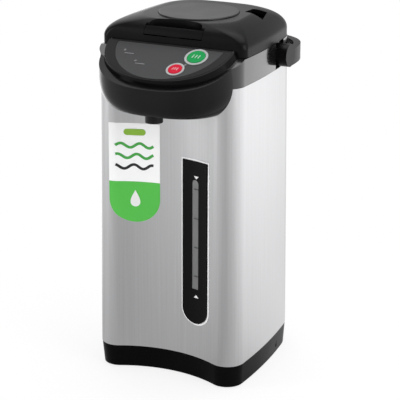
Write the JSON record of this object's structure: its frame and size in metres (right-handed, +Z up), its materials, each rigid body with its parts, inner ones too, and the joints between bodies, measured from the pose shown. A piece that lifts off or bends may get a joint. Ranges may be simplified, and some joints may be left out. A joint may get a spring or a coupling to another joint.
{
  "type": "electric thermo pot",
  "caption": "Tall electric thermo pot with steel body, black head with sloping button panel, spout, water gauge, hinged lid with press plate and a carrying bail.",
  "frame": {"origin": "on the floor plane under the middle of the body plan", "axes": "+X to the right seen from the front, -Y to the front with the spout, +Z up"},
  "size_m": [0.193, 0.2323, 0.4],
  "materials": {
    "black_gloss": "gloss",
    "black_satin": "satin",
    "panel_grey": "matte",
    "steel_brushed": "brushed",
    "steel_plain": "polished",
    "clear_lens": "clear",
    "clear_tube": "clear",
    "label_white": "gloss",
    "label_green": "gloss",
    "button_green": "gloss",
    "button_red": "gloss",
    "ring_white": "gloss",
    "led_clear": "gloss",
    "rubber_grey": "matte",
    "rubber_black": "matte",
    "silicone": "matte",
    "aluminium": "satin",
    "magnet": "matte",
    "circuit": "satin",
    "brass": "polished",
    "white_plastic": "matte",
    "spring_steel": "polished"
  },
  "bodies": {
    "pot": {"base_ring": "black_gloss", "base_screws": "spring_steel", "bottom_plate": "black_satin", "button_rings": "ring_white", "collar": "black_gloss", "control_board": "circuit", "control_panel": "panel_grey", "foot_1": "rubber_black", "foot_2": "rubber_black", "foot_3": "rubber_black", "foot_4": "rubber_black", "gauge_bezel": "black_gloss", "gauge_cap": "silicone", "gauge_hose": "silicone", "gauge_lens": "clear_lens", "gauge_tube": "clear_tube", "heater_clamp": "steel_plain", "heater_plate": "aluminium", "hinge_bracket": "black_satin", "hinge_pin": "steel_plain", "indicator_lenses": "led_clear", "inlet_pins": "brass", "inner_pot": "steel_plain", "label_lower": "label_green", "label_upper": "label_white", "motor_bracket": "steel_plain", "motor_cup": "white_plastic", "nose_cover": "black_gloss", "nose_housing": "black_gloss", "outer_shell": "steel_brushed", "outlet_strainer": "steel_plain", "panel_frame": "black_gloss", "pot_posts": "white_plastic", "power_board": "circuit", "power_inlet": "black_satin", "pump_chamber": "white_plastic", "pump_motor": "steel_plain", "riser_tube": "silicone", "spout": "black_satin", "thermal_fuse": "brass", "thermostat": "white_plastic"},
    "lid": {"lid_cover": "black_gloss", "steam_vent": "black_satin", "lid_inner": "steel_plain", "lid_gasket": "silicone", "latch_pin": "steel_plain", "bellows": "silicone", "pump_spring": "spring_steel", "air_valve": "silicone"},
    "latch": {"latch_bar": "black_gloss"},
    "press": {"press_plate": "black_gloss"},
    "bail": {"handle": "black_satin", "handle_pin_left": "steel_plain", "handle_pin_right": "steel_plain"},
    "dispense": {"dispense_button": "button_green"},
    "reheat": {"reheat_button": "button_red"},
    "impeller": {"pump_impeller": "white_plastic"},
    "rotor": {"drive_magnet": "magnet"}
  },
  "joints": [
    {"name": "lid_hinge", "type": "hinge", "parent": "pot", "child": "lid", "pos_m": [0, 0.097, 0.3745], "axis": [-1, 0, 0], "range_deg": [0, 80]},
    {"name": "handle_pivot", "type": "hinge", "parent": "pot", "child": "bail", "pos_m": [0, 0.04, 0.354], "axis": [1, 0, 0], "range_deg": [0, 95]},
    {"name": "latch_pivot", "type": "hinge", "parent": "lid", "child": "latch", "pos_m": [0, -0.0495, 0.3865], "axis": [1, 0, 0], "range_deg": [0, 14], "stiffness_Nm_per_rad": 0.05, "springref_deg": -17.19},
    {"name": "press_slide", "type": "slide", "parent": "lid", "child": "press", "axis": [0, 0, -1], "range_m": [0, 0.012], "stiffness_N_per_m": 400, "springref_m": -0.006, "deforming": ["bellows", "pump_spring"]},
    {"name": "dispense_press", "type": "slide", "parent": "pot", "child": "dispense", "axis": [0, 0.4435, -0.8963], "range_m": [0, 0.001], "stiffness_N_per_m": 500, "springref_m": -0.001},
    {"name": "reheat_press", "type": "slide", "parent": "pot", "child": "reheat", "axis": [0, 0.4435, -0.8963], "range_m": [0, 0.001], "stiffness_N_per_m": 500, "springref_m": -0.001},
    {"name": "rotor_spin", "type": "hinge", "parent": "pot", "child": "rotor", "pos_m": [-0.033, -0.018, 0.0186], "axis": [0, 0, 1], "continuous": true},
    {"name": "impeller_spin", "type": "hinge", "parent": "pot", "child": "impeller", "pos_m": [-0.033, -0.018, 0.028], "axis": [0, 0, 1], "continuous": true}
  ],
  "couplings": [
    {"joint": "impeller_spin", "follows": "rotor_spin", "ratio": 1}
  ]
}
